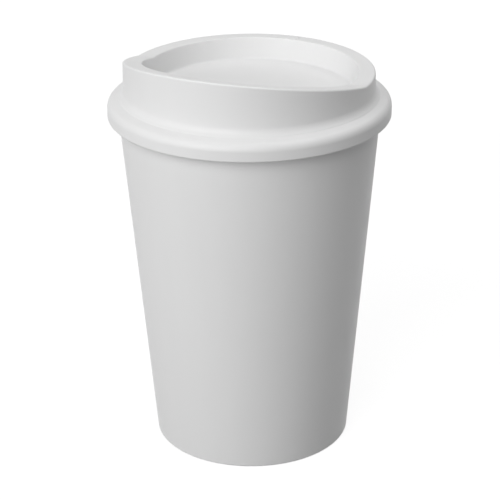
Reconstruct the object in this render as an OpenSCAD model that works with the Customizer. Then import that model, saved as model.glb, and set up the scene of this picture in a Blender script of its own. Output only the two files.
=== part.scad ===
// Reusable hot-drink cup: a tapered tumbler and its press-on drinking lid.
// Origin under the middle of the foot, +Z up, drinking side toward -Y. Millimetres.

/* [Cup] */
// Height of the cup without its lid
cup_h = 104; // [90:1:130]
// Outside width across the foot
foot_d = 57.5; // [50:0.5:62]
// Outside width of the tapered wall at the rim
mouth_d = 75.5; // [70:0.5:84]
// Thickness of the tapered wall
cup_wall = 1.8; // [1.4:0.1:2.4]
// Thickness of the cup floor
floor_t = 2; // [1.4:0.1:3]
// Height of the hollow under the floor
foot_h = 2; // [1:0.1:3]
// Width of the ring the cup stands on
foot_w = 3; // [2:0.1:5]
// How far the lip stands out from the tapered wall
lip_out = 0.6; // [0.4:0.05:1]
// Height of the thicker band under the rim
lip_h = 3.3; // [2.6:0.1:3.6]
// Rounding of the rim on its outer side
rim_round = 0.8; // [0.5:0.05:1.1]
// Rounding between the cup floor and the wall inside
inner_round = 4; // [2:0.5:8]

/* [Lid skirt] */
// How far the skirt hangs below the rim
skirt_drop = 4; // [3.7:0.1:6]
// Thickness of the skirt
skirt_t = 1.5; // [1.2:0.1:2]
// Rounding of the shoulder between the skirt and its roof
shoulder_r = 2.5; // [2.2:0.1:3]
// Height of the roof's outer edge above the rim, before it is rounded
shoulder_rise = 0.5; // [0:0.1:0.8]
// Lean of the roof from upright, degrees
roof_lean = 68; // [58:0.5:69]
// Rounding between the roof and the collar, at most
sweep_max_r = 4; // [2.5:0.1:5]
// Bevel at the lower edge of the skirt
skirt_bevel = 0.6; // [0.3:0.05:0.9]

/* [Lid collar] */
// Height of the rear of the lid above the rim
collar_h = 8.5; // [7:0.1:13]
// Rise of the drinking side above the rear
spout_rise = 8.2; // [4:0.1:12]
// Lean of the collar, degrees
collar_draft = 1.1; // [0.5:0.1:2]
// How far the foot of the collar stands outside the bore of the cup
collar_step = 0; // [0:0.05:0.4]
// Thickness of the collar and of its top face
lid_wall = 1.6; // [1.2:0.1:2]
// Depth of the plug inside the cup
plug_h = 5; // [3:0.1:8]
// Width of the moulding mark on the rear of the top face
gate_d = 1.6; // [1:0.1:2.4]
// Height of the moulding mark
gate_h = 0.2; // [0.1:0.05:0.4]

/* [Lid recess] */
// Width of the top face at each side of the recess
face_w = 5.4; // [4.8:0.1:8]
// How far the recess sits toward the rear
recess_shift = 1.2; // [0:0.1:1.4]
// Depth of the recess below the rear of the top face
recess_depth = 6.6; // [4:0.1:7]
// Lean of the recess wall, degrees
recess_draft = 7; // [1:0.5:9]
// Rounding between the recess floor and its wall
recess_round = 0.8; // [0.6:0.1:2.5]
// Thickness of the recess wall
recess_wall = 1.3; // [1:0.1:1.5]
// Thickness of the recess floor
recess_floor = 1.5; // [1.2:0.1:2]

/* [Drinking opening] */
// Width of the drinking opening
sip_w = 5.6; // [4.8:0.1:8]
// Turn of the drinking opening about the recess, degrees
sip_turn = 26; // [16:1:50]
// Distance from the drinking opening to the recess wall
sip_in = 2.2; // [1.5:0.1:5]

/* [Fits] */
// Gap between the plug and the bore of the cup, each side
plug_gap = 0.2; // [0.15:0.05:0.5]
// Gap between the skirt and the lip of the cup, each side
skirt_gap = 0.75; // [0.5:0.05:1.2]

/* [Hidden] */
$fn = 144;
cup_colour = [0.93, 0.93, 0.92];
lid_colour = [0.94, 0.94, 0.93];
eps = 1;

foot_r = foot_d / 2;
mouth_r = mouth_d / 2;
taper = (mouth_r - foot_r) / cup_h;
bore_r = mouth_r - cup_wall;
lip_r = mouth_r + lip_out;
cup_floor_z = foot_h + floor_t;
foot_edge = 0.5;

skirt_in_r = lip_r + skirt_gap;
skirt_r = skirt_in_r + skirt_t;
skirt_z = cup_h - skirt_drop;
lip_room_r = skirt_gap + rim_round;
collar_r = bore_r + collar_step;
edge_z = cup_h + shoulder_rise;
foot_z = edge_z + (skirt_r - collar_r) / tan(roof_lean);
roof_run = (skirt_r - collar_r) / sin(roof_lean);
roof_min = 0.2;
shoulder_run = shoulder_r * tan(roof_lean / 2);
shoulder_x = skirt_r - shoulder_r;
shoulder_z = edge_z - shoulder_run;
sweep_r = min(sweep_max_r, (roof_run - shoulder_run - roof_min) / tan(roof_lean / 2));
sweep_run = sweep_r * tan(roof_lean / 2);
sweep_x = collar_r + sweep_r;
sweep_z = foot_z + sweep_run;

rear_z = cup_h + collar_h;
slope = spout_rise / collar_r;
crown_z = rear_z + spout_rise + 2;
crown_r = collar_r - (crown_z - sweep_z) * tan(collar_draft);

plug_r = bore_r - plug_gap;
plug_z = cup_h - plug_h;
plug_low_r = plug_r - taper * plug_h;
under_z = plug_z - eps;
under_r = plug_r - taper * (plug_h + eps);

recess_z = rear_z - recess_depth;
recess_r = collar_r - face_w;
recess_low_r = recess_r - recess_depth * tan(recess_draft);
recess_high_r = recess_r + (crown_z - rear_z) * tan(recess_draft);
sip_out_r = recess_low_r - sip_in;
sip_in_r = sip_out_r - sip_w;
sip_mid_r = sip_out_r - sip_w / 2;
gate_y = (collar_r + recess_r + recess_shift) / 2;

// Radius of the tapered wall at height z
function wall_r(z) = foot_r + taper * z;

// Point on the lid's roof line, a run away from its outer edge
function along_roof(run) = [skirt_r - run * sin(roof_lean), edge_z + run * cos(roof_lean)];

// Half section of the cup's outside
module cup_outside() {
    polygon([
        [0, 0],
        [foot_r - foot_edge, 0],
        [wall_r(foot_edge), foot_edge],
        [wall_r(cup_h - lip_h), cup_h - lip_h],
        [lip_r, cup_h - lip_h + lip_out + 0.2],
        [lip_r, cup_h - rim_round],
        [lip_r - rim_round, cup_h],
        [0, cup_h]
    ]);
    translate([lip_r - rim_round, cup_h - rim_round])
        circle(r = rim_round);
}

// Half section of the hollow inside the cup
module cup_inside() {
    low_r = wall_r(cup_floor_z) - cup_wall;
    turn_r = wall_r(cup_floor_z + inner_round) - cup_wall;
    polygon([
        [0, cup_floor_z],
        [low_r - inner_round, cup_floor_z],
        [turn_r - inner_round, cup_floor_z + inner_round],
        [turn_r, cup_floor_z + inner_round],
        [bore_r + taper * eps, cup_h + eps],
        [0, cup_h + eps]
    ]);
    translate([turn_r - inner_round, cup_floor_z + inner_round])
        circle(r = inner_round);
}

// Half section of the hollow under the cup's floor
module cup_underside() {
    polygon([
        [0, -eps],
        [foot_r - foot_w, -eps],
        [foot_r - foot_w, 0],
        [foot_r - foot_w - foot_h / 2, foot_h],
        [0, foot_h]
    ]);
}

// Tumbler: tapered wall, foot ring, floor and lip
module cup() {
    color(cup_colour)
        rotate_extrude()
            difference() {
                cup_outside();
                cup_inside();
                cup_underside();
            }
}

// Half section of the lid's outside, with the collar run on past its highest point
module lid_outside() {
    difference() {
        union() {
            polygon([
                [0, skirt_z],
                [skirt_r - skirt_bevel, skirt_z],
                [skirt_r, skirt_z + skirt_bevel / 2],
                [skirt_r, shoulder_z],
                along_roof(shoulder_run),
                along_roof(roof_run - sweep_run),
                [collar_r, sweep_z],
                [crown_r, crown_z],
                [0, crown_z]
            ]);
            intersection() {
                translate([shoulder_x, shoulder_z])
                    circle(r = shoulder_r);
                translate([shoulder_x, shoulder_z])
                    square(shoulder_r);
            }
        }
        translate([sweep_x, sweep_z])
            circle(r = sweep_r);
    }
}

// Half section of the space between the skirt and the plug, where the cup's rim sits
module rim_space() {
    intersection() {
        polygon([
            [plug_r, cup_h],
            [skirt_r, cup_h],
            [skirt_r, under_z],
            [under_r, under_z]
        ]);
        union() {
            translate([skirt_in_r - lip_room_r, cup_h - lip_room_r])
                circle(r = lip_room_r);
            translate([0, under_z])
                square([skirt_in_r - lip_room_r, cup_h - under_z]);
            translate([0, under_z])
                square([skirt_in_r, cup_h - lip_room_r - under_z]);
        }
    }
}

// Everything below the lid's top face: level at the rear, rising to the drinking side
module below_top(drop) {
    rotate([90, 0, 90])
        linear_extrude(height = 2 * skirt_r + 4, center = true)
            polygon([
                [-skirt_r - 1, 0],
                [skirt_r + 1, 0],
                [skirt_r + 1, rear_z - drop],
                [0, rear_z - drop],
                [-skirt_r - 1, rear_z - drop + slope * (skirt_r + 1)]
            ]);
}

// Recess with its rounded floor edge
module recess_space() {
    translate([0, recess_shift, 0])
        rotate_extrude()
            union() {
                polygon([
                    [0, recess_z],
                    [recess_low_r - recess_round, recess_z],
                    [recess_low_r, recess_z + recess_round],
                    [recess_high_r, crown_z],
                    [0, crown_z]
                ]);
                translate([recess_low_r - recess_round, recess_z + recess_round])
                    circle(r = recess_round);
            }
}

// Space under the lid inside the plug and the collar, less the body of the recess
module lid_underside() {
    difference() {
        intersection() {
            rotate_extrude()
                polygon([
                    [0, under_z],
                    [under_r - lid_wall, under_z],
                    [plug_r - lid_wall, cup_h],
                    [collar_r - lid_wall, sweep_z],
                    [crown_r - lid_wall, crown_z],
                    [0, crown_z]
                ]);
            below_top(lid_wall);
        }
        translate([0, recess_shift, recess_z - recess_floor])
            cylinder(
                h = crown_z - recess_z + recess_floor,
                r1 = recess_low_r + recess_wall,
                r2 = recess_high_r + recess_wall
            );
    }
}

// Curved drinking opening through the recess floor
module sip_opening() {
    translate([0, recess_shift, recess_z - recess_floor - eps]) {
        rotate([0, 0, -90 - sip_turn / 2])
            rotate_extrude(angle = sip_turn)
                translate([sip_in_r, 0])
                    square([sip_w, recess_floor + 2 * eps]);
        for (side = [-1, 1])
            rotate([0, 0, -90 + side * sip_turn / 2])
                translate([sip_mid_r, 0, 0])
                    cylinder(h = recess_floor + 2 * eps, d = sip_w);
    }
}

// Drinking lid: skirt over the rim, plug in the bore, collar, top face and recess
module lid() {
    color(lid_colour)
        difference() {
            union() {
                intersection() {
                    rotate_extrude()
                        lid_outside();
                    below_top(0);
                }
                translate([0, 0, plug_z])
                    cylinder(h = plug_h, r1 = plug_low_r, r2 = plug_r);
                translate([0, gate_y, rear_z - lid_wall / 2])
                    cylinder(h = lid_wall / 2 + gate_h, d = gate_d);
            }
            rotate_extrude()
                rim_space();
            recess_space();
            lid_underside();
            sip_opening();
        }
}

cup();
lid();
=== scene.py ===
"""A white reusable coffee tumbler with its press-on drinking lid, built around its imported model."""

import math

import bpy
import numpy as np
from bpy.props import FloatProperty, FloatVectorProperty, IntProperty, PointerProperty
from bpy.types import Operator, Panel, PropertyGroup
from mathutils import Matrix, Vector


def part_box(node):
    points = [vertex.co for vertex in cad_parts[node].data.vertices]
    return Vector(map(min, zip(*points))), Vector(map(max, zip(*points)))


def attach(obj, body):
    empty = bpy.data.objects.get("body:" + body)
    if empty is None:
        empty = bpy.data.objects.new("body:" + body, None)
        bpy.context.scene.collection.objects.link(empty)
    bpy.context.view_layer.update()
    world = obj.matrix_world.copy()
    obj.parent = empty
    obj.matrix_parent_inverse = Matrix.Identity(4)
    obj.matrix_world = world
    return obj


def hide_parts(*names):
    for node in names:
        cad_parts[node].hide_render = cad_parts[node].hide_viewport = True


bl_info = {
    "name": "Lidded coffee tumbler",
    "version": (1, 0, 0),
    "blender": (4, 5, 0),
    "location": "3D View > Sidebar > Tumbler",
    "description": "Builds a reusable coffee tumbler, its drinking lid and a plain studio",
    "category": "Add Mesh",
}

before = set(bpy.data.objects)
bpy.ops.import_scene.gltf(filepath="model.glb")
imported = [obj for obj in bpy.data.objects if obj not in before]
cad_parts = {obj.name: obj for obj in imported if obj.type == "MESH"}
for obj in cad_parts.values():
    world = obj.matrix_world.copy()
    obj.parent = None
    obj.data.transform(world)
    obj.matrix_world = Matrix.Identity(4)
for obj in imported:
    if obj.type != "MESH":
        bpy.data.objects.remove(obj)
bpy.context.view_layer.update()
CUP_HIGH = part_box("cup")[1]
LID_LOW, LID_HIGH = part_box("lid")

MM = 0.001
PHOTO_PIXELS = 500
SENSOR_WIDTH = 36.0


def length(name, description, default):
    """A size in metres, given in millimetres."""
    return FloatProperty(
        name=name,
        description=description,
        default=default * MM,
        min=0.0,
        precision=5,
        subtype="DISTANCE",
        unit="LENGTH",
    )


def turn_angle(name, description, default):
    """An angle, given in degrees."""
    return FloatProperty(
        name=name,
        description=description,
        default=math.radians(default),
        subtype="ANGLE",
        unit="ROTATION",
    )


def factor(name, description, default, top=1.0):
    """A share or strength without a unit."""
    return FloatProperty(
        name=name,
        description=description,
        default=default,
        min=0.0,
        max=top,
        subtype="FACTOR",
    )


def pixels(name, description, default):
    """A place or length in the photograph, in pixels."""
    return FloatProperty(name=name, description=description, default=default, subtype="PIXEL")


def colour(name, description, default):
    """A linear colour."""
    return FloatVectorProperty(
        name=name,
        description=description,
        default=default,
        min=0.0,
        max=1.0,
        size=3,
        subtype="COLOR",
    )


class CupSizes(PropertyGroup):
    """Sizes of the tumbler."""

    height: length("Height", "From the foot to the rim", CUP_HIGH.z / MM)
    lip_radius: length("Lip radius", "Outside radius of the lip", CUP_HIGH.x / MM)
    lip_out: length("Lip overhang", "How far the lip stands out from the wall", 0.6)
    lip_height: length("Lip height", "Height of the thicker band under the rim", 3.3)
    foot_radius: length("Foot radius", "Outside radius of the foot", 28.75)
    wall: length("Wall", "Thickness of the tapered wall", 1.8)
    floor: length("Floor", "Thickness of the floor", 2.0)
    hollow: length("Hollow", "Height of the hollow under the floor", 2.0)
    ring: length("Foot ring", "Width of the ring that the cup stands on", 3.0)
    foot_edge: length("Foot edge", "Rounding of the foot's outer edge", 0.6)
    rim_edge: length("Rim edge", "Rounding of the rim", 0.8)
    inner_edge: length("Inner rounding", "Rounding between floor and wall inside", 4.0)


class LidSizes(PropertyGroup):
    """Sizes of the lid."""

    skirt_radius: length("Skirt radius", "Outside radius of the skirt", LID_HIGH.x / MM)
    skirt_drop: length("Skirt drop", "How far the skirt hangs below the rim", 4.0)
    skirt_wall: length("Skirt wall", "Thickness of the skirt", 1.5)
    skirt_edge: length("Skirt edge", "Rounding of the skirt's lower edge", 0.5)
    shoulder: length("Shoulder", "Rounding between the skirt and the roof", 2.5)
    shoulder_rise: length("Shoulder rise", "Height of the roof's unrounded outer edge above the rim", 0.5)
    roof_lean: turn_angle("Roof lean", "Lean of the roof from upright", 68.0)
    roof_start: length("Roof start", "Radius where the sweep meets the roof", 37.48)
    sweep: length("Sweep", "Rounding between the collar and the sweep below it", 2.6)
    sweep_lean: turn_angle("Sweep lean", "Lean of the sweep from upright where it meets the roof", 52.0)
    seam_run: length("Seam place", "Distance of the mould seam above the roof, along the sweep", 0.27)
    seam_width: length("Seam width", "Width of the mould seam", 0.26)
    seam_depth: length("Seam depth", "Depth of the mould seam", 0.06)
    collar_radius: length("Collar radius", "Outside radius at the foot of the collar", 35.95)
    collar_draft: turn_angle("Collar lean", "Lean of the collar", 1.1)
    collar_height: length("Rear height", "Height of the rear of the lid above the rim", 8.5)
    rise: length("Spout rise", "Rise of the drinking side above the rear", 8.2)
    curl: factor("Rise curl", "Share of the rise that grows toward the lip", 0.07)
    crease: length("Crease", "Half width of the soft crease where the rise begins", 0.5)
    face_edge: length("Outer edge", "Rounding of the top face's outer edge", 0.5)
    bore_edge: length("Inner edge", "Rounding of the top face's inner edge", 0.4)
    wall: length("Wall", "Thickness of the collar and the top face", 1.6)
    plug_radius: length("Plug radius", "Outside radius of the plug at the rim", 35.75)
    plug_taper: length("Plug taper", "How much narrower the plug is at its lower end", 0.43)
    recess_radius: length("Recess radius", "Radius of the recess at the rear face", 30.55)
    recess_shift: length("Recess shift", "How far the recess sits toward the rear", 1.2)
    recess_depth: length("Recess depth", "Depth of the recess below the rear face", 6.6)
    recess_draft: turn_angle("Recess lean", "Lean of the recess wall", 7.0)
    recess_round: length("Recess rounding", "Rounding between the recess floor and wall", 0.8)
    recess_wall: length("Recess wall", "Thickness of the recess wall", 1.3)
    recess_floor: length("Recess floor", "Thickness of the recess floor", 1.5)
    sip_width: length("Opening width", "Width of the drinking opening", 5.6)
    sip_turn: turn_angle("Opening turn", "Turn of the drinking opening about the recess", 26.0)
    sip_in: length("Opening inset", "Distance from the opening to the recess wall", 2.2)
    sip_lip: length("Opening edge", "Rounding of the opening's edges", 0.45)
    gate_radius: length("Gate radius", "Radius of the moulding mark on the rear face", 0.8)
    gate_height: length("Gate height", "Height of the moulding mark", 0.2)


class PlasticFinish(PropertyGroup):
    """Colour and surface of the plastic."""

    cup_colour: colour("Cup colour", "Colour of the tumbler", (0.86, 0.86, 0.86))
    lid_colour: colour("Lid colour", "Colour of the lid", (0.87, 0.87, 0.87))
    grain: length("Grain size", "Size of the moulded grain", 0.35)
    grain_depth: length("Grain depth", "Depth of the moulded grain", 0.006)
    mottle: factor("Mottle", "How much the tone varies over the surface", 0.02)
    roughness: factor("Roughness", "Mean roughness of the satin surface", 0.42)
    refraction: factor("Refraction", "Index of refraction of the plastic", 1.49, 3.0)
    gloss: factor("Gloss", "Level of the mirror part of the surface", 0.35)


class StudioSettings(PropertyGroup):
    """Camera, floor, even light and fineness of the turned surfaces."""

    focal_pixels: pixels("Focal length", "Focal length in photograph pixels", 1900.0)
    foot_u: pixels("Foot across", "Pixel column of the foot's centre", 252.5)
    foot_v: pixels("Foot down", "Pixel row of the foot's centre", 419.55)
    depth: length("Depth", "Distance of the foot's centre from the camera's plane", 584.2)
    azimuth: turn_angle("Azimuth", "Turn of the camera from the drinking side", 24.9)
    elevation: turn_angle("Elevation", "Height of the camera above the horizon", 23.68)
    roll: turn_angle("Roll", "Lean of the cup's axis in the picture", -0.56)
    floor_radius: length("Floor radius", "Radius of the studio floor", 4000.0)
    ambient: factor("Surround", "Strength of the even light from all round", 0.085)
    columns: IntProperty(
        name="Columns",
        description="Columns of a turned surface",
        default=360,
        min=40,
        subtype="UNSIGNED",
    )


def unit(vectors):
    """Each vector over its own length."""
    return vectors / np.linalg.norm(vectors, axis=-1, keepdims=True)


def rounded(corners, radii, steps=10):
    """Rows of a half section through corners that true arcs round off.

    corners is (corner, angle, 2) with a radius and a height for each angle. At a corner E, a and b are the
    unit vectors toward its neighbours and h is half the angle between them. The arc of radius r meets the
    sides r / tan(h) away from E, at P and Q, and the curve
    ((1-t)^2 P + 2 t (1-t) sin(h) E + t^2 Q) / ((1-t)^2 + 2 t (1-t) sin(h) + t^2) traces it.
    """
    middle = corners[1:-1]
    before = unit(corners[:-2] - middle)
    after = unit(corners[2:] - middle)
    half = np.arccos(np.clip((before * after).sum(-1), -1.0, 1.0)) / 2
    reach = (np.asarray(radii)[:, None] / np.tan(half))[..., None]
    weight = np.sin(half)[:, None, :, None]
    t = np.linspace(0.0, 1.0, steps + 1)[None, :, None, None]
    first = (1 - t) ** 2
    second = 2 * t * (1 - t) * weight
    third = t**2
    start = (middle + before * reach)[:, None]
    end = (middle + after * reach)[:, None]
    rows = (first * start + second * middle[:, None] + third * end) / (first + second + third)
    rows = rows.reshape(-1, *corners.shape[1:])
    return np.concatenate([corners[:1], rows, corners[-1:]])


def turned(section, angles):
    """Carries half sections round the axis: x = r sin(t), y = -r cos(t), with t = 0 on the drinking side."""
    radius = section[..., 0]
    x = radius * np.sin(angles)
    y = -radius * np.cos(angles)
    return np.stack([x, y, section[..., 1]], axis=-1)


def strip_faces(index):
    """Quads between neighbouring rows and columns of an array of vertex numbers."""
    quads = [index[:-1, :-1], index[:-1, 1:], index[1:, 1:], index[1:, :-1]]
    return np.stack(quads, axis=-1).reshape(-1, 4)


def wrapped(index):
    """The same numbers with the first column repeated at the end."""
    return np.concatenate([index, index[:, :1]], axis=1)


def mesh_piece(name, points, faces, body, material, node=None):
    """Makes a smooth mesh object that rides on a body and may stand for a CAD node."""
    used = np.unique(np.concatenate([part.ravel() for part in faces]))
    renumber = np.zeros(len(points), dtype=int)
    renumber[used] = np.arange(len(used))
    mesh = bpy.data.meshes.new(name)
    face_lists = [face for part in faces for face in renumber[part].tolist()]
    mesh.from_pydata(points[used].tolist(), [], face_lists)
    mesh.shade_smooth()
    mesh.materials.append(material)
    piece = bpy.data.objects.new(name, mesh)
    bpy.context.scene.collection.objects.link(piece)
    weighted = piece.modifiers.new("even_shading", "WEIGHTED_NORMAL")
    weighted.keep_sharp = False
    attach(piece, body)
    if node:
        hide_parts(node)
    return piece


def closed_turning(section, angles):
    """Points and faces of a turned closed shell whose first and last rows lie on the axis."""
    rows, columns = section.shape[0] - 2, section.shape[1]
    grid = turned(section[1:-1], angles)
    poles = np.array([[0.0, 0.0, section[0, 0, 1]], [0.0, 0.0, section[-1, 0, 1]]])
    points = np.concatenate([grid.reshape(-1, 3), poles])
    index = wrapped(np.arange(rows * columns).reshape(rows, columns))
    low_pole = np.full(columns, rows * columns)
    high_pole = low_pole + 1
    low_fan = np.stack([low_pole, index[0, 1:], index[0, :-1]], axis=-1)
    high_fan = np.stack([index[-1, :-1], index[-1, 1:], high_pole], axis=-1)
    return points, index, low_fan, high_fan


def column_angles(columns):
    """Even angles that start at the rear, so the drinking side lies in the middle column."""
    return np.linspace(-math.pi, math.pi, columns, endpoint=False)


def cup_section(sizes, columns):
    """Corners of the tumbler's half section, from under its floor round to its floor inside."""
    mouth = sizes.lip_radius - sizes.lip_out
    taper = (mouth - sizes.foot_radius) / sizes.height
    lip_z = sizes.height - sizes.lip_height
    floor_z = sizes.hollow + sizes.floor
    hollow_radius = sizes.foot_radius - sizes.ring
    dimple_radius = 4.0 * MM
    dimple_depth = 0.4 * MM
    corners = np.array([
        [0.0, sizes.hollow + dimple_depth],
        [dimple_radius, sizes.hollow + dimple_depth],
        [dimple_radius + dimple_depth, sizes.hollow],
        [hollow_radius - sizes.hollow / 2, sizes.hollow],
        [hollow_radius, 0.0],
        [sizes.foot_radius, 0.0],
        [sizes.foot_radius + taper * lip_z, lip_z],
        [sizes.lip_radius, lip_z + sizes.lip_out],
        [sizes.lip_radius, sizes.height],
        [mouth - sizes.wall, sizes.height],
        [sizes.foot_radius + taper * floor_z - sizes.wall, floor_z],
        [0.0, floor_z],
    ])
    small = 0.3 * MM
    radii = [
        small, small, 2 * small, 2 * small, sizes.foot_edge, 3 * small, small,
        sizes.rim_edge, sizes.rim_edge / 2, sizes.inner_edge,
    ]
    return rounded(np.repeat(corners[:, None], columns, axis=1), radii)


def rise_over(sizes, forward):
    """Height of the top face above its rear: nothing behind the crease, then a nearly straight rise.

    With p the distance past the crease over the collar's radius, the rise is (1 - c) p + c p^2 of the whole.
    The crease itself is the parabola (s + w)^2 / 4w for distances s within w of it.
    """
    soft = (forward + sizes.crease) ** 2 / (4 * sizes.crease)
    past = np.where(np.abs(forward) < sizes.crease, soft, np.maximum(forward, 0.0))
    share = past / sizes.collar_radius
    return sizes.rise * ((1 - sizes.curl) * share + sizes.curl * share**2)


def shifted_radius(radius, shift, angles):
    """Distance from the axis to a circle whose centre lies the shift toward the rear."""
    return np.sqrt(radius**2 - (shift * np.sin(angles)) ** 2) - shift * np.cos(angles)


def face_corner(sizes, angles, radius_at, drop=0.0):
    """Where a nearly upright wall meets the top face, or a face the drop below it.

    The wall's radius at a height and the face's height at a radius are taken in turn until both agree.
    """
    rear_z = CUP_HIGH.z + sizes.collar_height
    height = np.full_like(angles, rear_z)
    rounds = 4
    for _ in range(rounds):
        radius = radius_at(height)
        height = rear_z + rise_over(sizes, radius * np.cos(angles)) - drop
    return np.stack([radius, height], axis=-1)


def lid_section(sizes, angles):
    """Rows of the lid's half section at each angle, from under the recess floor round to the floor's top."""
    rim_z = CUP_HIGH.z
    skirt_z = rim_z - sizes.skirt_drop
    plug_z = LID_LOW.z
    edge_z = rim_z + sizes.shoulder_rise
    start_z = edge_z + (sizes.skirt_radius - sizes.roof_start) / math.tan(sizes.roof_lean)
    foot_z = start_z + (sizes.roof_start - sizes.collar_radius) / math.tan(sizes.sweep_lean)
    sweep_z = foot_z + sizes.sweep * math.tan(sizes.sweep_lean / 2)
    rear_z = rim_z + sizes.collar_height
    recess_z = rear_z - sizes.recess_depth
    skirt_in = sizes.skirt_radius - sizes.skirt_wall
    plug_low = sizes.plug_radius - sizes.plug_taper
    lean_in = math.tan(sizes.collar_draft)
    lean_out = math.tan(sizes.recess_draft)

    def collar_at(height):
        return sizes.collar_radius - (height - sweep_z) * lean_in

    def recess_at(height, extra=0.0):
        radius = sizes.recess_radius + extra + (height - rear_z) * lean_out
        return shifted_radius(radius, sizes.recess_shift, angles)

    def ring(radius, height):
        return np.stack([radius + 0 * angles, height + 0 * angles], axis=-1)

    def on_sweep(run, depth=0.0):
        lean = sizes.sweep_lean
        radius = sizes.roof_start - run * math.sin(lean) - depth * math.cos(lean)
        return ring(radius, start_z + run * math.cos(lean) - depth * math.sin(lean))

    under_z = recess_z - sizes.recess_floor
    seam_half = sizes.seam_width / 2
    small = 0.4 * MM
    slight = 3.0 * MM
    seam_round = 0.08 * MM
    lip_room = 1.5 * MM
    # One rounding for each corner between the two on the axis
    radii = [
        2 * small, small, small, slight, small, small, small, lip_room, small, sizes.skirt_edge,
        sizes.shoulder, small, seam_round, seam_round, seam_round, sizes.sweep,
        sizes.face_edge, sizes.bore_edge, sizes.recess_round,
    ]
    corners = np.stack([
        ring(0.0, under_z),
        ring(recess_at(recess_z, sizes.recess_wall), under_z),
        face_corner(sizes, angles, lambda z: recess_at(z, sizes.recess_wall), sizes.wall),
        face_corner(sizes, angles, lambda z: collar_at(z) - sizes.wall, sizes.wall),
        ring(sizes.plug_radius - sizes.wall, rim_z),
        ring(plug_low - sizes.wall, plug_z),
        ring(plug_low, plug_z),
        ring(sizes.plug_radius, rim_z),
        ring(skirt_in, rim_z),
        ring(skirt_in, skirt_z),
        ring(sizes.skirt_radius, skirt_z),
        ring(sizes.skirt_radius, edge_z),
        ring(sizes.roof_start, start_z),
        on_sweep(sizes.seam_run - seam_half),
        on_sweep(sizes.seam_run, sizes.seam_depth),
        on_sweep(sizes.seam_run + seam_half),
        ring(sizes.collar_radius, foot_z),
        face_corner(sizes, angles, collar_at),
        face_corner(sizes, angles, recess_at),
        ring(recess_at(recess_z), recess_z),
        ring(0.0, recess_z),
    ])
    return rounded(corners, radii)


def lid_floor_rows(section, shares):
    """Adds rings to both floors of the lid, each a share of the way from the axis to the floor's edge."""
    shares = np.asarray(shares)[:, None, None]
    scale = np.concatenate([shares, np.ones_like(shares)], axis=-1)
    under = section[1] * scale
    over = section[-2] * scale
    return np.concatenate([section[:1], under, section[1:-1], over[::-1], section[-1:]])


def patch_border(index, outer, inner, left, right):
    """Vertex numbers round a patch of the grid: out along the outer row, back along the inner one."""
    step = 1 if inner > outer else -1
    down = np.arange(outer + step, inner, step)
    return np.concatenate([
        index[outer, left : right + 1],
        index[down, right],
        index[inner, left : right + 1][::-1],
        index[down[::-1], left],
    ])


def sip_rings(sizes, upper, lower, steps=6):
    """Rings from the floor's patch down through the drinking opening and out to the patch below.

    The opening is every point within half its width of an arc. A border point's foot on that arc is found by
    clamping its angle about the recess, and its ring points lie along the line from that foot. The opening's
    edges are quarter circles: with e the edge's rounding, distance = half width + e (1 - sin t) and
    depth = e (1 - cos t).
    """
    centre = np.array([0.0, sizes.recess_shift])
    recess_low = sizes.recess_radius - sizes.recess_depth * math.tan(sizes.recess_draft)
    half_width = sizes.sip_width / 2
    arc_radius = recess_low - sizes.sip_in - half_width
    edge = sizes.sip_lip
    offset = upper[:, :2] - centre
    angle = np.clip(np.arctan2(offset[:, 0], -offset[:, 1]), -sizes.sip_turn / 2, sizes.sip_turn / 2)
    foot = centre + arc_radius * np.stack([np.sin(angle), -np.cos(angle)], axis=-1)
    away = unit(upper[:, :2] - foot)
    t = np.linspace(0.0, math.pi / 2, steps + 1)
    reach = half_width + edge * (1 - np.sin(t))
    depth = edge * (1 - np.cos(t))
    reach = np.concatenate([reach, reach[::-1]])[:, None, None]
    height = np.concatenate([upper[0, 2] - depth, lower[0, 2] + depth[::-1]])
    flat = foot + away * reach
    rings = np.concatenate([flat, np.broadcast_to(height[:, None, None], (*flat.shape[:2], 1))], axis=-1)
    between = 3
    share = np.linspace(0.0, 1.0, between + 2)[1:-1, None, None]
    above = upper * (1 - share) + rings[0] * share
    below = rings[-1] * (1 - share) + lower * share
    return np.concatenate([above, rings, below])


def build_cup(sizes, finish, columns):
    """The tumbler: one half section turned round the axis."""
    angles = column_angles(columns)
    points, index, low_fan, high_fan = closed_turning(cup_section(sizes, columns), angles)
    faces = [low_fan, strip_faces(index), high_fan]
    material = plastic_material("satin_cup", finish.cup_colour, finish)
    return mesh_piece("tumbler", points, faces, "cup", material, "cup")


def build_lid(sizes, finish, columns):
    """The lid: a half section that changes with the angle, with a drinking opening through its floor."""
    angles = column_angles(columns)
    # Rings of both floors as shares of their radius. The opening's patch begins at the third ring, and it
    # spans 24 degrees on each side of the drinking side.
    shares = (0.2, 0.45, 0.66, 0.72, 0.78, 0.84, 0.9, 0.95)
    patch_start = 2
    patch_half = round(columns * 24 / 360)
    section = lid_floor_rows(lid_section(sizes, angles), shares)
    points, index, low_fan, high_fan = closed_turning(section, angles)
    last = len(index) - 1
    left = columns // 2 - patch_half
    right = columns // 2 + patch_half
    lower = patch_border(index, len(shares), patch_start, left, right)
    upper = patch_border(index, last - len(shares), last - patch_start, left, right)
    rings = sip_rings(sizes, points[upper], points[lower])
    ring_index = len(points) + np.arange(rings.shape[0] * rings.shape[1]).reshape(rings.shape[:2])
    ring_index = np.concatenate([upper[None], ring_index, lower[None]])
    keep = np.ones((last, columns), dtype=bool)
    keep[patch_start : len(shares), left:right] = False
    keep[last - len(shares) : last - patch_start, left:right] = False
    body = strip_faces(index)[keep.ravel()]
    faces = [low_fan, body, high_fan, strip_faces(wrapped(ring_index))]
    points = np.concatenate([points, rings.reshape(-1, 3)])
    material = plastic_material("satin_lid", finish.lid_colour, finish)
    return mesh_piece("drinking_lid", points, faces, "lid", material, "lid")


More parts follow.
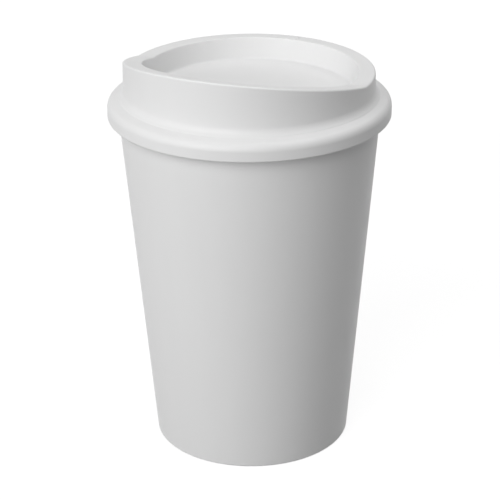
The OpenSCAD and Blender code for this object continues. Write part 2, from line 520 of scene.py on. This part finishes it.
def build_gate_mark(sizes, material):
    """The low round moulding mark on the rear of the top face: a small turned button."""
    rear_z = CUP_HIGH.z + sizes.collar_height
    sunk = 0.4 * MM
    low_round = 0.1 * MM
    high_round = 0.15 * MM
    columns = 48
    corners = np.array([
        [0.0, rear_z - sunk],
        [sizes.gate_radius, rear_z - sunk],
        [sizes.gate_radius, rear_z + sizes.gate_height],
        [0.0, rear_z + sizes.gate_height],
    ])
    section = rounded(np.repeat(corners[:, None], columns, axis=1), [low_round, high_round], steps=4)
    points, index, low_fan, high_fan = closed_turning(section, column_angles(columns))
    points[:, 1] += (sizes.collar_radius + sizes.recess_radius + sizes.recess_shift) / 2
    faces = [low_fan, strip_faces(index), high_fan]
    return mesh_piece("gate_mark", points, faces, "lid", material)


def add_node(tree, kind, **values):
    """A shader node with some of its settings and unlinked inputs given."""
    made = tree.nodes.new(kind)
    for key, value in values.items():
        if hasattr(made, key):
            setattr(made, key, value)
        else:
            made.inputs[key.replace("_", " ")].default_value = value
    return made


def math_node(tree, operation, first, second):
    """A Math node fed by links or plain numbers."""
    made = tree.nodes.new("ShaderNodeMath")
    made.operation = operation
    for socket, value in zip(made.inputs, (first, second)):
        if isinstance(value, (int, float)):
            socket.default_value = value
        else:
            tree.links.new(value, socket)
    return made.outputs[0]


def moulded_plastic_group():
    """Node group for moulded plastic: faint flow marks and mottling in the tone, fine grain in the surface.

    Noise scales are cells per metre.
    """
    name = "moulded_plastic"
    cloud_scale = 38.0
    flow_scale = (160.0, 160.0, 14.0)
    patch_scale = 150.0
    patch_swing = 0.18
    ripple_scale = 420.0
    if name in bpy.data.node_groups:
        return bpy.data.node_groups[name]
    tree = bpy.data.node_groups.new(name, "ShaderNodeTree")
    sockets = [
        ("Colour", "NodeSocketColor"),
        ("Mottle", "NodeSocketFloat"),
        ("Roughness", "NodeSocketFloat"),
        ("Grain Scale", "NodeSocketFloat"),
        ("Grain Depth", "NodeSocketFloat"),
    ]
    for label, kind in sockets:
        tree.interface.new_socket(name=label, in_out="INPUT", socket_type=kind)
    tree.interface.new_socket(name="Colour", in_out="OUTPUT", socket_type="NodeSocketColor")
    tree.interface.new_socket(name="Roughness", in_out="OUTPUT", socket_type="NodeSocketFloat")
    tree.interface.new_socket(name="Normal", in_out="OUTPUT", socket_type="NodeSocketVector")
    given = tree.nodes.new("NodeGroupInput")
    result = tree.nodes.new("NodeGroupOutput")
    place = tree.nodes.new("ShaderNodeTexCoord").outputs["Object"]
    link = tree.links.new

    clouds = add_node(tree, "ShaderNodeTexNoise", Scale=cloud_scale, Detail=3.0, Roughness=0.55)
    link(place, clouds.inputs["Vector"])
    stretch = add_node(tree, "ShaderNodeMapping", Scale=flow_scale)
    link(place, stretch.inputs["Vector"])
    flow = add_node(tree, "ShaderNodeTexNoise", Scale=1.0, Detail=2.0, Roughness=0.5)
    link(stretch.outputs["Vector"], flow.inputs["Vector"])
    both = math_node(tree, "ADD", clouds.outputs["Fac"], flow.outputs["Fac"])
    swing = math_node(tree, "MULTIPLY", math_node(tree, "SUBTRACT", both, 1.0), given.outputs["Mottle"])
    tone = math_node(tree, "ADD", swing, 1.0)
    tinted = tree.nodes.new("ShaderNodeVectorMath")
    tinted.operation = "SCALE"
    link(given.outputs["Colour"], tinted.inputs[0])
    link(tone, tinted.inputs["Scale"])
    link(tinted.outputs[0], result.inputs["Colour"])

    patchy = add_node(tree, "ShaderNodeTexNoise", Scale=patch_scale, Detail=2.0, Roughness=0.5)
    link(place, patchy.inputs["Vector"])
    sheen = math_node(tree, "MULTIPLY", math_node(tree, "SUBTRACT", patchy.outputs["Fac"], 0.5), patch_swing)
    link(math_node(tree, "ADD", sheen, given.outputs["Roughness"]), result.inputs["Roughness"])

    grain = add_node(tree, "ShaderNodeTexNoise", Detail=2.0, Roughness=0.6)
    link(place, grain.inputs["Vector"])
    link(given.outputs["Grain Scale"], grain.inputs["Scale"])
    ripple = add_node(tree, "ShaderNodeTexNoise", Scale=ripple_scale, Detail=1.0)
    link(place, ripple.inputs["Vector"])
    height = math_node(tree, "ADD", grain.outputs["Fac"], ripple.outputs["Fac"])
    bump = add_node(tree, "ShaderNodeBump", Strength=1.0)
    link(height, bump.inputs["Height"])
    link(given.outputs["Grain Depth"], bump.inputs["Distance"])
    link(bump.outputs["Normal"], result.inputs["Normal"])
    return tree


def plastic_material(name, base, finish):
    """Satin white plastic with the moulded surface group."""
    material = bpy.data.materials.new(name)
    material.use_nodes = True
    tree = material.node_tree
    shader = tree.nodes["Principled BSDF"]
    surface = tree.nodes.new("ShaderNodeGroup")
    surface.node_tree = moulded_plastic_group()
    surface.inputs["Colour"].default_value = (*base, 1.0)
    surface.inputs["Mottle"].default_value = finish.mottle
    surface.inputs["Roughness"].default_value = finish.roughness
    surface.inputs["Grain Scale"].default_value = 1.0 / finish.grain
    surface.inputs["Grain Depth"].default_value = finish.grain_depth
    tree.links.new(surface.outputs["Colour"], shader.inputs["Base Color"])
    tree.links.new(surface.outputs["Roughness"], shader.inputs["Roughness"])
    tree.links.new(surface.outputs["Normal"], shader.inputs["Normal"])
    shader.inputs["IOR"].default_value = finish.refraction
    shader.inputs["Specular IOR Level"].default_value = finish.gloss
    return material


def seen_white(tree, shown, lit):
    """Mixes two shaders: the first where camera, gloss or glass looks straight at it, else the second."""
    rays = tree.nodes.new("ShaderNodeLightPath")
    through = math_node(tree, "MAXIMUM", rays.outputs["Is Camera Ray"], rays.outputs["Is Transmission Ray"])
    seen = math_node(tree, "MAXIMUM", through, rays.outputs["Is Glossy Ray"])
    mix = tree.nodes.new("ShaderNodeMixShader")
    tree.links.new(seen, mix.inputs[0])
    tree.links.new(lit, mix.inputs[1])
    tree.links.new(shown, mix.inputs[2])
    return mix.outputs[0]


def build_world(ambient):
    """An even grey surround that shows as white behind the object."""
    world = bpy.data.worlds.new("studio_world")
    world.use_nodes = True
    bpy.context.scene.world = world
    tree = world.node_tree
    lit = tree.nodes["Background"]
    lit.inputs["Color"].default_value = (1.0, 1.0, 1.0, 1.0)
    lit.inputs["Strength"].default_value = ambient
    white = add_node(tree, "ShaderNodeBackground", Color=(1.0, 1.0, 1.0, 1.0), Strength=1.0)
    shown = seen_white(tree, white.outputs[0], lit.outputs[0])
    tree.links.new(shown, tree.nodes["World Output"].inputs["Surface"])


def build_floor(radius):
    """A pale floor: a disc just under the foot's plane that shows white and keeps a faint shadow.

    Its own glow is weaker near the object, where the shadow falls, and reaches white a little way off.
    """
    columns = 96
    gap = 0.02 * MM
    grey = 0.3
    glow_near = 0.84
    shadow_end = 250 * MM
    white_start = 600 * MM
    rings = radius * np.linspace(0.0, 1.0, 9)[1:] ** 3
    section = np.stack([rings, np.full_like(rings, -gap)], axis=-1)[:, None]
    points = turned(np.repeat(section, columns, axis=1), column_angles(columns)).reshape(-1, 3)
    index = wrapped(np.arange(len(points)).reshape(-1, columns))
    points = np.concatenate([points, [[0.0, 0.0, -gap]]])
    middle = np.full(columns, len(points) - 1)
    fan = np.stack([index[0, 1:], middle, index[0, :-1]], axis=-1)
    faces = strip_faces(index)[:, ::-1]
    mesh = bpy.data.meshes.new("studio_floor")
    mesh.from_pydata(points.tolist(), [], fan.tolist() + faces.tolist())
    floor = bpy.data.objects.new("studio_floor", mesh)
    bpy.context.scene.collection.objects.link(floor)
    material = bpy.data.materials.new("pale_floor")
    material.use_nodes = True
    tree = material.node_tree
    tree.nodes.remove(tree.nodes["Principled BSDF"])
    paint = add_node(tree, "ShaderNodeBsdfDiffuse", Color=(grey, grey, grey, 1.0))
    glow = add_node(tree, "ShaderNodeEmission", Color=(1.0, 1.0, 1.0, 1.0))
    place = tree.nodes.new("ShaderNodeTexCoord").outputs["Object"]
    span = tree.nodes.new("ShaderNodeVectorMath")
    span.operation = "LENGTH"
    tree.links.new(place, span.inputs[0])
    fade = tree.nodes.new("ShaderNodeMapRange")
    fade.inputs["From Min"].default_value = shadow_end
    fade.inputs["From Max"].default_value = white_start
    fade.inputs["To Min"].default_value = glow_near
    tree.links.new(span.outputs["Value"], fade.inputs["Value"])
    tree.links.new(fade.outputs["Result"], glow.inputs["Strength"])
    bright = tree.nodes.new("ShaderNodeAddShader")
    tree.links.new(paint.outputs[0], bright.inputs[0])
    tree.links.new(glow.outputs[0], bright.inputs[1])
    shown = seen_white(tree, bright.outputs[0], paint.outputs[0])
    tree.links.new(shown, tree.nodes["Material Output"].inputs["Surface"])
    mesh.materials.append(material)


# Name, turn from the camera and height in degrees, distance and side in metres, power in watts
LAMPS = (
    ("key_front_left", -30.0, 30.0, 1.0, 0.8, 6.85),
    ("low_left", -60.0, 8.0, 1.0, 0.8, 1.35),
    ("side_left", -90.0, 30.0, 1.0, 0.8, 0.8),
    ("rear_right", 90.0, 52.0, 1.0, 0.8, 1.6),
    ("top_rear", 150.0, 72.0, 1.0, 0.8, 2.8),
)


def build_lamps(azimuth):
    """Soft square lamps round the object, all facing the middle of the tumbler."""
    target = Vector((0.0, 0.0, CUP_HIGH.z / 2))
    for name, turn, height, distance, side, power in LAMPS:
        data = bpy.data.lights.new(name, "AREA")
        data.shape = "SQUARE"
        data.size = side
        data.energy = power
        lamp = bpy.data.objects.new(name, data)
        bpy.context.scene.collection.objects.link(lamp)
        bearing = azimuth + math.radians(turn)
        rise = math.radians(height)
        level = math.cos(rise)
        back = Vector((math.sin(bearing) * level, -math.cos(bearing) * level, math.sin(rise)))
        lamp.location = target + back * distance
        lamp.rotation_euler = back.to_track_quat("Z", "Y").to_euler()


def build_camera(studio):
    """Camera that puts the foot's centre on its pixel and leans the axis as the photograph does.

    In the camera's own frame (right, down, forward) the foot's centre is at
    ((u - c) d / f, (v - c) d / f, d) and the cup's axis points along
    (sin(roll) cos(e), -cos(roll) cos(e), -sin(e)). The world's axes follow from that axis and from the
    camera's turn about it.
    """
    centre = PHOTO_PIXELS / 2
    scale = studio.depth / studio.focal_pixels
    foot = Vector(((studio.foot_u - centre) * scale, (studio.foot_v - centre) * scale, studio.depth))
    level = math.cos(studio.elevation)
    up = Vector((math.sin(studio.roll) * level, -math.cos(studio.roll) * level, -math.sin(studio.elevation)))
    side = up.cross(Vector((0.0, 0.0, 1.0))).normalized()
    toward = up.cross(side)
    turn = studio.azimuth
    world_y = -(math.sin(turn) * side + math.cos(turn) * toward)
    world_x = world_y.cross(up)
    axes = Matrix((world_x, world_y, up))
    place = axes @ -foot
    right = axes @ Vector((1.0, 0.0, 0.0))
    above = axes @ Vector((0.0, -1.0, 0.0))
    behind = axes @ Vector((0.0, 0.0, -1.0))
    data = bpy.data.cameras.new("studio_camera")
    data.sensor_width = SENSOR_WIDTH
    data.lens = studio.focal_pixels * SENSOR_WIDTH / PHOTO_PIXELS
    data.clip_start = 10 * MM
    camera = bpy.data.objects.new("studio_camera", data)
    bpy.context.scene.collection.objects.link(camera)
    rotation = Matrix((right, above, behind)).transposed()
    camera.matrix_world = Matrix.Translation(place) @ rotation.to_4x4()
    bpy.context.scene.camera = camera


class TUMBLER_OT_make_cup(Operator):
    """Build the tumbler"""

    bl_idname = "tumbler.make_cup"
    bl_label = "Make the tumbler"

    def execute(self, context):
        scene = context.scene
        build_cup(scene.tumbler_cup, scene.tumbler_finish, scene.tumbler_studio.columns)
        return {"FINISHED"}


class TUMBLER_OT_make_lid(Operator):
    """Build the drinking lid and its moulding mark"""

    bl_idname = "tumbler.make_lid"
    bl_label = "Make the lid"

    def execute(self, context):
        scene = context.scene
        lid = build_lid(scene.tumbler_lid, scene.tumbler_finish, scene.tumbler_studio.columns)
        build_gate_mark(scene.tumbler_lid, lid.data.materials[0])
        return {"FINISHED"}


class TUMBLER_OT_make_stage(Operator):
    """Build the floor, the surround, the lamps and the camera"""

    bl_idname = "tumbler.make_stage"
    bl_label = "Make the studio"

    def execute(self, context):
        studio = context.scene.tumbler_studio
        build_world(studio.ambient)
        build_floor(studio.floor_radius)
        build_lamps(studio.azimuth)
        build_camera(studio)
        context.scene.view_settings.view_transform = "Standard"
        return {"FINISHED"}


class TUMBLER_PT_panel(Panel):
    """Sizes, finish and studio of the tumbler"""

    bl_label = "Lidded tumbler"
    bl_space_type = "VIEW_3D"
    bl_region_type = "UI"
    bl_category = "Tumbler"

    def draw(self, context):
        scene = context.scene
        for group in (scene.tumbler_cup, scene.tumbler_lid, scene.tumbler_finish, scene.tumbler_studio):
            box = self.layout.box()
            box.label(text=group.bl_rna.description)
            for key in group.__annotations__:
                box.prop(group, key)
        for operator in OPERATORS:
            self.layout.operator(operator.bl_idname)


GROUPS = {
    "tumbler_cup": CupSizes,
    "tumbler_lid": LidSizes,
    "tumbler_finish": PlasticFinish,
    "tumbler_studio": StudioSettings,
}
OPERATORS = (TUMBLER_OT_make_cup, TUMBLER_OT_make_lid, TUMBLER_OT_make_stage)


def register():
    """Registers the property groups, the operators and the panel."""
    for name, group in GROUPS.items():
        bpy.utils.register_class(group)
        setattr(bpy.types.Scene, name, PointerProperty(type=group))
    for operator in OPERATORS:
        bpy.utils.register_class(operator)
    bpy.utils.register_class(TUMBLER_PT_panel)


def unregister():
    """Takes the panel, the operators and the property groups out again."""
    bpy.utils.unregister_class(TUMBLER_PT_panel)
    for operator in reversed(OPERATORS):
        bpy.utils.unregister_class(operator)
    for name, group in GROUPS.items():
        delattr(bpy.types.Scene, name)
        bpy.utils.unregister_class(group)


def main():
    """Builds the tumbler, the lid and the studio."""
    register()
    bpy.ops.tumbler.make_cup()
    bpy.ops.tumbler.make_lid()
    bpy.ops.tumbler.make_stage()


if __name__ == "__main__":
    main()
